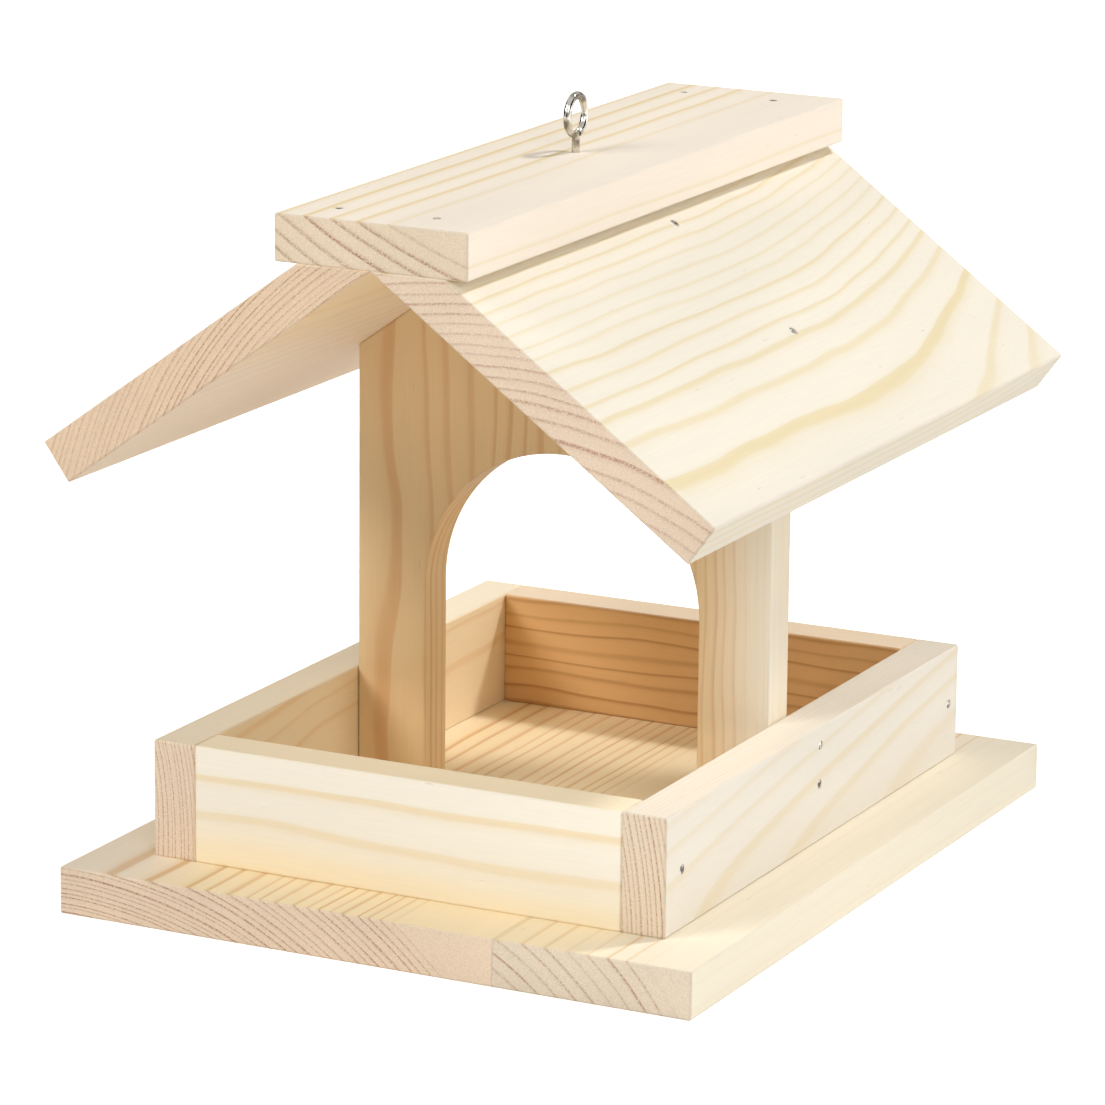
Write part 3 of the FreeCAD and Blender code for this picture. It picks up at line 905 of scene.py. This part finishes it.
@dataclass
class WireNails:
    """Round wire nails, one where the frame has one, each head a little aslant as hammered.

    All sizes are in millimetres.

    Attributes:
        finish: their metal.
        head: radii and heights of the head's outline, from its middle to where it meets the shank.
        shank: the shank's radius.
        grip_groove: how deep the grip's grooves are.
        grip_pitch: how far apart they are.
        grip_share: where between two rings a groove is deepest.
        grip_rings: how many rings the grip has.
        point: how long the point is.
        waist: the point's width part of the way down, as a share of the shank's, and how far down that is.
        tip: how blunt the tip is.
        sides: how many sides the round is drawn with.
        slant: how much the head leans: twice its rise over its width.
        level_at: how far from its middle, towards its raised side, the lean leaves it at its height.
        raised_side: the direction in which its raised side points.
        turned: how far a nail's raised side may lie off it, either way, in radians.
        seed: sets the chances of that.
    """

    finish: WireMetal = WireMetal(
        name="bright_drawn_steel",
        colour="#f4f2ee",
        # painted reflection: a near-black colour in the clouds
        painted_dark_reflection="#3d3a37",
        roughness=0.25,
        cloud=1.0,
        cloud_edge=(0.47, 0.56),
        painted_dark_share=0.9,
    )
    head: Table = (
        (0.3, 0.2),
        (0.36, 0.25),
        (0.9, 0.24),
        (1.1, 0.2),
        (1.17, 0.1),
        (1.17, -0.36),
        (0.72, -0.78),
    )
    shank: float = 0.69
    grip_groove: float = 0.07
    grip_pitch: float = 0.5
    grip_share: float = 0.3
    grip_rings: int = 6
    point: float = 2.0
    waist: tuple[float, float] = (0.72, 0.7)
    tip: float = 0.05
    sides: int = 32
    slant: float = 0.05
    level_at: float = 1.0
    raised_side: Point = (-0.3, -1.0, -0.2)
    turned: float = 0.6
    seed: int = 7

    @staticmethod
    def places(node: str) -> list[tuple[Vector, Vector, float]]:
        """Finds the nails of a frame node.

        Args:
            node: the node's name.

        Returns:
            For each nail the middle of its head, its direction into the wood and its length.
        """
        one_place, one_level = 0.001 * MM, 0.05 * MM
        form = bmesh.new()
        form.from_mesh(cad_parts[node].data)
        form.transform(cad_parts[node].matrix_world)
        bmesh.ops.remove_doubles(form, verts=form.verts, dist=one_place)
        seen: set[bmesh.types.BMVert] = set()
        found = []
        for first in form.verts:
            if first in seen:
                continue
            nail, edge = {first}, [first]
            while edge:
                for link in edge.pop().link_edges:
                    fresh = [vert for vert in link.verts if vert not in nail]
                    nail.update(fresh)
                    edge += fresh
            seen |= nail
            points = [vert.co.copy() for vert in form.verts if vert in nail]
            middle = sum(points, Vector()) / len(points)
            tip = max(points, key=lambda point: (point - middle).length)
            axis = (tip - middle).normalized()
            lowest = min(point.dot(axis) for point in points)
            rim = [point for point in points if point.dot(axis) < lowest + one_level]
            top = sum(rim, Vector()) / len(rim)
            found.append((top, (tip - top).normalized(), (tip - top).length))
        form.free()
        return found

    def profile(self, length: float) -> list[tuple[float, float, float]]:
        """The nail's outline.

        Args:
            length: the nail's length, in millimetres.

        Returns:
            Rows of radius, height and how square the section is there, from the head to the point.
        """
        rows = [(radius, height, 0.0) for radius, height in self.head]
        height = self.head[-1][1] - self.grip_pitch
        for _ in range(self.grip_rings):
            rows.append((self.shank, height, 0.0))
            rows.append((self.shank - self.grip_groove, height - self.grip_pitch * self.grip_share, 0.0))
            height -= self.grip_pitch
        rows.append((self.shank, height, 0.0))
        rows.append((self.shank, self.point - length, 0.0))
        narrowed, lowered = self.waist
        rows.append((self.shank * narrowed, self.point * lowered - length, 1.0))
        rows.append((self.tip, self.tip - length, 1.0))
        return rows

    def add(
        self, form: bmesh.types.BMesh, top: Vector, inwards: Vector, length: float, turn: float
    ) -> None:
        """Adds one nail to a mesh.

        Args:
            form: the mesh.
            top: the middle of its head.
            inwards: its direction.
            length: its length, in metres.
            turn: how far its head's raised side lies off the front, in radians.
        """
        upright = (-inwards).to_track_quat("Z", "Y").to_matrix()
        place = Matrix.Translation(top) @ upright.to_4x4()
        front = upright.transposed() @ Vector(self.raised_side)
        turn += math.atan2(front.y, front.x)
        rings = []
        for row, (radius, height, square) in enumerate(self.profile(length / MM)):
            leaning = self.slant if row < len(self.head) - 1 else 0.0
            ring = []
            for side in range(self.sides):
                angle = 2 * math.pi * side / self.sides
                corner = math.cos(math.pi / 4) / max(abs(math.cos(angle)), abs(math.sin(angle)))
                out = radius * (1 + square * (corner - 1))
                tilt = leaning * (out * math.cos(angle - turn) - self.level_at) / 2
                spot = Vector((out * math.cos(angle), out * math.sin(angle), height + tilt))
                ring.append(place @ (spot * MM))
            rings.append(ring)
        skin(form, rings)

    def build(self) -> None:
        """Makes the nails of every group and puts them in place of the frame's."""
        chance = random.Random(self.seed)
        finish = self.finish.material()
        for node in sorted(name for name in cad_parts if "_nails_" in name):
            form = bmesh.new()
            nails = self.places(node)
            for top, inwards, length in nails:
                self.add(form, top, inwards, length, chance.uniform(-self.turned, self.turned))
            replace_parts(new_piece(f"wire_{node}", form, finish), node)
            log.info("%s holds %d wire nails", node, len(nails))


@dataclass
class ScrewEye:
    """The nickel-plated screw eye, bent from one wire and threaded in the wood, in millimetres.

    Attributes:
        finish: its metal.
        wire: the wire's thickness.
        ring: the ring's outer width.
        neck: how high the ring's lowest point stands over the wood.
        bend: the radius of the bend between the shank and the ring.
        closing: how far the ring closes past its lowest point, in degrees.
        sunk: how deep it goes into the wood.
        point: how long the shank's point is.
        blunt: how much of the point's tip is missing.
        thread_pitch: how far apart the thread's turns are.
        thread_depth: how deep the thread is cut.
        thread_share: how deep it is cut at most where the core is thin, as a share of the core's radius.
        thread_end: over what length the thread runs out under the wood's face.
        cut_edge: how far the edge of the wire's cut end is rounded.
        sides: how many sides the wire is drawn with.
        steps: in how many steps a turn of the thread, the straight neck, the bend and the ring are drawn.
    """

    finish: WireMetal = WireMetal(
        name="bright_nickel_plate",
        colour="#e0dbd0",
        # painted reflection: a dark colour in the clouds
        painted_dark_reflection="#5d5546",
        roughness=0.07,
        cloud=4.0,
        cloud_edge=(0.48, 0.62),
        painted_dark_share=0.8,
    )
    wire: float = 2.1
    ring: float = 12.19
    neck: float = 3.6
    bend: float = 2.2
    closing: float = 16.0
    sunk: float = 10.0
    point: float = 3.0
    blunt: float = 0.05
    thread_pitch: float = 0.9
    thread_depth: float = 0.22
    thread_share: float = 0.4
    thread_end: float = 1.5
    cut_edge: float = 0.12
    sides: int = 28
    steps: tuple[int, int, int, int] = (8, 4, 12, 72)

    def bent_part(self) -> list[tuple[Vector, Vector]]:
        """Follows the wire above the wood.

        Returns:
            Points of the wire's middle, from the wood to its cut end, with its direction at each.
        """
        _, neck_steps, bend_steps, ring_steps = self.steps
        turn = (self.ring - self.wire) / 2
        centre = self.neck + self.ring / 2
        low = centre - math.sqrt((turn + self.bend) ** 2 - self.bend**2)
        meet = math.atan2(centre - low, self.bend)
        upwards = Vector((0, 0, 1))
        path = [(upwards * (low * step / neck_steps), upwards) for step in range(neck_steps + 1)]
        for step in range(1, bend_steps + 1):
            angle = meet * step / bend_steps
            spot = Vector((0, self.bend * (math.cos(angle) - 1), low + self.bend * math.sin(angle)))
            path.append((spot, Vector((0, -math.sin(angle), math.cos(angle)))))
        start, stop = math.pi + meet, math.radians(self.closing) - math.pi / 2
        for step in range(1, ring_steps + 1):
            angle = start + (stop - start) * step / ring_steps
            spot = Vector((0, turn * math.cos(angle), centre + turn * math.sin(angle)))
            path.append((spot, Vector((0, math.sin(angle), -math.cos(angle)))))
        return path

    def threaded_part(self) -> list[list[Vector]]:
        """Cuts the thread of the part in the wood.

        Returns:
            Rings of points, from its point up to the wood's face.
        """
        steps = round(self.sunk / self.thread_pitch * self.steps[0])
        rings = []
        for step in range(steps):
            height = self.sunk * (step / steps - 1)
            core = self.wire / 2 * min(1.0, (height + self.sunk + self.blunt) / self.point)
            depth = min(self.thread_depth, core * self.thread_share) * min(1.0, -height / self.thread_end)
            ring = []
            for side in range(self.sides):
                angle = 2 * math.pi * side / self.sides
                phase = (height / self.thread_pitch - side / self.sides) % 1.0
                out = core - depth * abs(2 * phase - 1)
                ring.append(Vector((out * math.cos(angle), out * math.sin(angle), height)))
            rings.append(ring)
        return rings

    def build(self) -> None:
        """Makes the screw eye and puts it in place of the frame's."""
        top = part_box("ridge_board")[1][2]
        rings = self.threaded_part()
        path = [(spot, heading, self.wire / 2) for spot, heading in self.bent_part()]
        spot, heading, radius = path[-1]
        path.append((spot + heading * self.cut_edge, heading, radius - self.cut_edge))
        side_on = Vector((1, 0, 0))
        for spot, heading, radius in path:
            down = heading.cross(side_on)
            turns = (2 * math.pi * side / self.sides for side in range(self.sides))
            rings.append(
                [spot + radius * (side_on * math.cos(turn) + down * math.sin(turn)) for turn in turns]
            )
        form = bmesh.new()
        skin(form, [[point * MM + Vector((0, 0, top)) for point in ring] for ring in rings])
        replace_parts(new_piece("screw_eye_wire", form, self.finish.material()), "screw_eye")
        log.info("the screw eye stands on the ridge at %.4f m", top)


@dataclass(frozen=True)
class SoftBox:
    """A square lamp with a white cloth over it, which faces the table.

    Attributes:
        name: its name.
        azimuth: where it stands, in degrees.
        height: how high it hangs, in degrees.
        size: its width, in metres.
        power: its power, in watts.
        distance: how far off it is, in metres.
    """

    name: str
    azimuth: float
    height: float
    size: float
    power: float
    distance: float = 3.5


@dataclass(frozen=True)
class BlackCard:
    """A black card at the edge of the studio, which only shiny metal shows.

    Attributes:
        name: its name.
        azimuth: where it hangs, in degrees.
        height: how high its middle is, in degrees.
        width: its width, in metres.
        tall: its other side, in metres.
        distance: how far off it is, in metres.
    """

    name: str
    azimuth: float
    height: float
    width: float
    tall: float
    distance: float = 2.0


@dataclass
class Studio:
    """A white floor, soft lamps and the camera at the photograph's view.

    An azimuth is counted from the front towards the right, and a height from the level, in degrees.

    Attributes:
        camera_place: where the camera stands.
        azimuth: from where it looks at the table.
        elevation: from how high it does.
        roll: how far it is turned about its own line of sight, in degrees.
        sensor: its sensor's width, in millimetres.
        focal_pixels: its focal length, in pixels of the photograph.
        frame_pixels: the photograph's width, in pixels.
        floor_size: the floor's width.
        aim: what the lamps and cards face.
        lamps: the soft boxes.
        cards: the black cards.
        ambient: how strongly the surroundings light the table.
        seen_glow: how much the floor is whitened where it is seen.
        mirrored_share: how much of the background's white shiny things mirror.
    """

    camera_place: Point = (0.624582, -1.262603, 0.439371)
    azimuth: float = 26.52
    elevation: float = 14.275
    roll: float = 0.585
    sensor: float = 36.0
    focal_pixels: float = 5539.7
    frame_pixels: float = 1105.0
    floor_size: float = 14.0
    aim: Point = (0.0, 0.0, 0.09)
    lamps: tuple[SoftBox, ...] = (
        SoftBox("back_right_lamp", 142.0, 50.0, 0.45, 67.5),
        SoftBox("front_left_lamp", -35.0, 35.0, 1.6, 71.5),
        SoftBox("front_right_lamp", 45.0, 30.0, 1.6, 31.0),
        SoftBox("low_right_lamp", 110.0, 15.0, 2.4, 33.5),
    )
    cards: tuple[BlackCard, ...] = (
        BlackCard("card_behind_camera", 10.0, 4.0, 1.2, 0.9),
        BlackCard("card_left", -80.0, 20.0, 2.0, 1.4),
        BlackCard("card_right", 105.0, 25.0, 1.6, 1.2),
    )
    ambient: float = 0.08
    seen_glow: float = 0.58
    mirrored_share: float = 0.65

    def camera(self) -> None:
        """Puts the camera where the photograph was taken from."""
        turn, rise, roll = (math.radians(angle) for angle in (self.azimuth, self.elevation, self.roll))
        back = Vector((math.sin(turn) * math.cos(rise), -math.cos(turn) * math.cos(rise), math.sin(rise)))
        right = Vector((math.cos(turn), math.sin(turn), 0.0))
        up = back.cross(right)
        rolled_right = right * math.cos(roll) + up * math.sin(roll)
        rolled_up = up * math.cos(roll) - right * math.sin(roll)
        data = bpy.data.cameras.new("camera")
        data.sensor_width = self.sensor
        data.lens = self.sensor * self.focal_pixels / self.frame_pixels
        made = bpy.data.objects.new("camera", data)
        axes = Matrix((rolled_right, rolled_up, back)).transposed().to_4x4()
        made.matrix_world = Matrix.Translation(self.camera_place) @ axes
        bpy.context.collection.objects.link(made)
        bpy.context.scene.camera = made

    def background_share(self, graph: Graph) -> Socket:
        """Tells rays that see the background from those that light the table.

        Args:
            graph: the tree of the floor's paint or of the surroundings.

        Returns:
            1 for rays that see it, the mirrored share for those off shiny things, and 0 for the rest.
        """
        path = graph.add("LightPath")
        mirrored = graph.add(
            "Math", {"operation": "MULTIPLY"}, i0=path.outputs["Is Glossy Ray"], i1=self.mirrored_share
        ).outputs["Value"]
        seen = graph.add(
            "Math", {"operation": "MAXIMUM"}, i0=path.outputs["Is Camera Ray"], i1=mirrored
        ).outputs["Value"]
        return graph.add(
            "Math", {"operation": "MAXIMUM"}, i0=seen, i1=path.outputs["Is Transmission Ray"]
        ).outputs["Value"]

    @staticmethod
    def sheet(
        name: str, width: float, tall: float, place: Matrix, paint: bpy.types.Material
    ) -> bpy.types.Object:
        """Hangs or lays a flat sheet that isn't part of the table.

        Args:
            name: its name.
            width: its width.
            tall: its other side.
            place: where it is.
            paint: its material.

        Returns:
            The sheet.
        """
        mesh = bpy.data.meshes.new(name)
        form = bmesh.new()
        corners = ((-width, -tall), (width, -tall), (width, tall), (-width, tall))
        form.faces.new([form.verts.new((x / 2, y / 2, 0.0)) for x, y in corners])
        form.to_mesh(mesh)
        form.free()
        mesh.materials.append(paint)
        made = bpy.data.objects.new(name, mesh)
        made.matrix_world = place
        bpy.context.collection.objects.link(made)
        return made

    def towards(self, azimuth: float, height: float, distance: float) -> Matrix:
        """Finds a place round the table and turns it to face the table.

        Args:
            azimuth: its azimuth, in degrees.
            height: its height over the level, in degrees.
            distance: how far off it is, in metres.

        Returns:
            The place.
        """
        turn, rise = math.radians(azimuth), math.radians(height)
        out = Vector((math.sin(turn) * math.cos(rise), -math.cos(turn) * math.cos(rise), math.sin(rise)))
        facing = out.to_track_quat("Z", "Y").to_matrix().to_4x4()
        return Matrix.Translation(Vector(self.aim) + out * distance) @ facing

    def floor(self) -> None:
        """Lays a pale floor that keeps a soft shadow."""
        paint = bpy.data.materials.new("matt_white_paper")
        graph = Graph(paint)
        paper = graph.add("BsdfDiffuse", Color=linear("#f4f3f1")).outputs["BSDF"]
        glow = graph.add(
            "MapRange", Value=self.background_share(graph), To_Max=self.seen_glow
        ).outputs["Result"]
        white = graph.add("Emission", Color=linear("#ffffff"), Strength=glow).outputs["Emission"]
        seen = graph.add("AddShader", i0=paper, i1=white).outputs["Shader"]
        graph.add("OutputMaterial", Surface=seen)
        self.sheet("floor", self.floor_size, self.floor_size, Matrix.Identity(4), paint)

    def black_cards(self) -> None:
        """Hangs the cards that give the metal its dark edges."""
        paint = bpy.data.materials.new("matt_black_card")
        graph = Graph(paint)
        black = graph.add("BsdfDiffuse", Color=linear("#1a1714")).outputs["BSDF"]
        graph.add("OutputMaterial", Surface=black)
        for card in self.cards:
            place = self.towards(card.azimuth, card.height, card.distance)
            made = self.sheet(card.name, card.width, card.tall, place, paint)
            made.visible_camera = made.visible_diffuse = made.visible_shadow = False
            made.visible_transmission = False

    def world(self) -> None:
        """Gives the scene a white background and a little light from all round."""
        made = bpy.data.worlds.new("white_studio")
        graph = Graph(made)
        strength = graph.add(
            "MapRange", Value=self.background_share(graph), To_Min=self.ambient, To_Max=1.0
        ).outputs["Result"]
        sky = graph.add("Background", Color=linear("#ffffff"), Strength=strength).outputs["Background"]
        graph.add("OutputWorld", Surface=sky)
        bpy.context.scene.world = made

    def hang_lamps(self) -> None:
        """Hangs the soft boxes."""
        for lamp in self.lamps:
            data = bpy.data.lights.new(lamp.name, "AREA")
            data.shape = "SQUARE"
            data.size = lamp.size
            data.energy = lamp.power
            made = bpy.data.objects.new(lamp.name, data)
            made.matrix_world = self.towards(lamp.azimuth, lamp.height, lamp.distance)
            bpy.context.collection.objects.link(made)

    def build(self) -> None:
        """Sets up the whole studio."""
        self.camera()
        self.floor()
        self.black_cards()
        self.world()
        self.hang_lamps()
        bpy.context.scene.view_settings.view_transform = "Standard"


def main() -> None:
    """Builds the studio and every piece of the table."""
    logging.basicConfig(level=logging.INFO, format="%(message)s")
    for part in (Studio(), Base(), Tray(), Panel(), Roof(), WireNails(), ScrewEye()):
        part.build()
        log.info("%s is built", type(part).__name__)


if __name__ == "__main__":
    main()
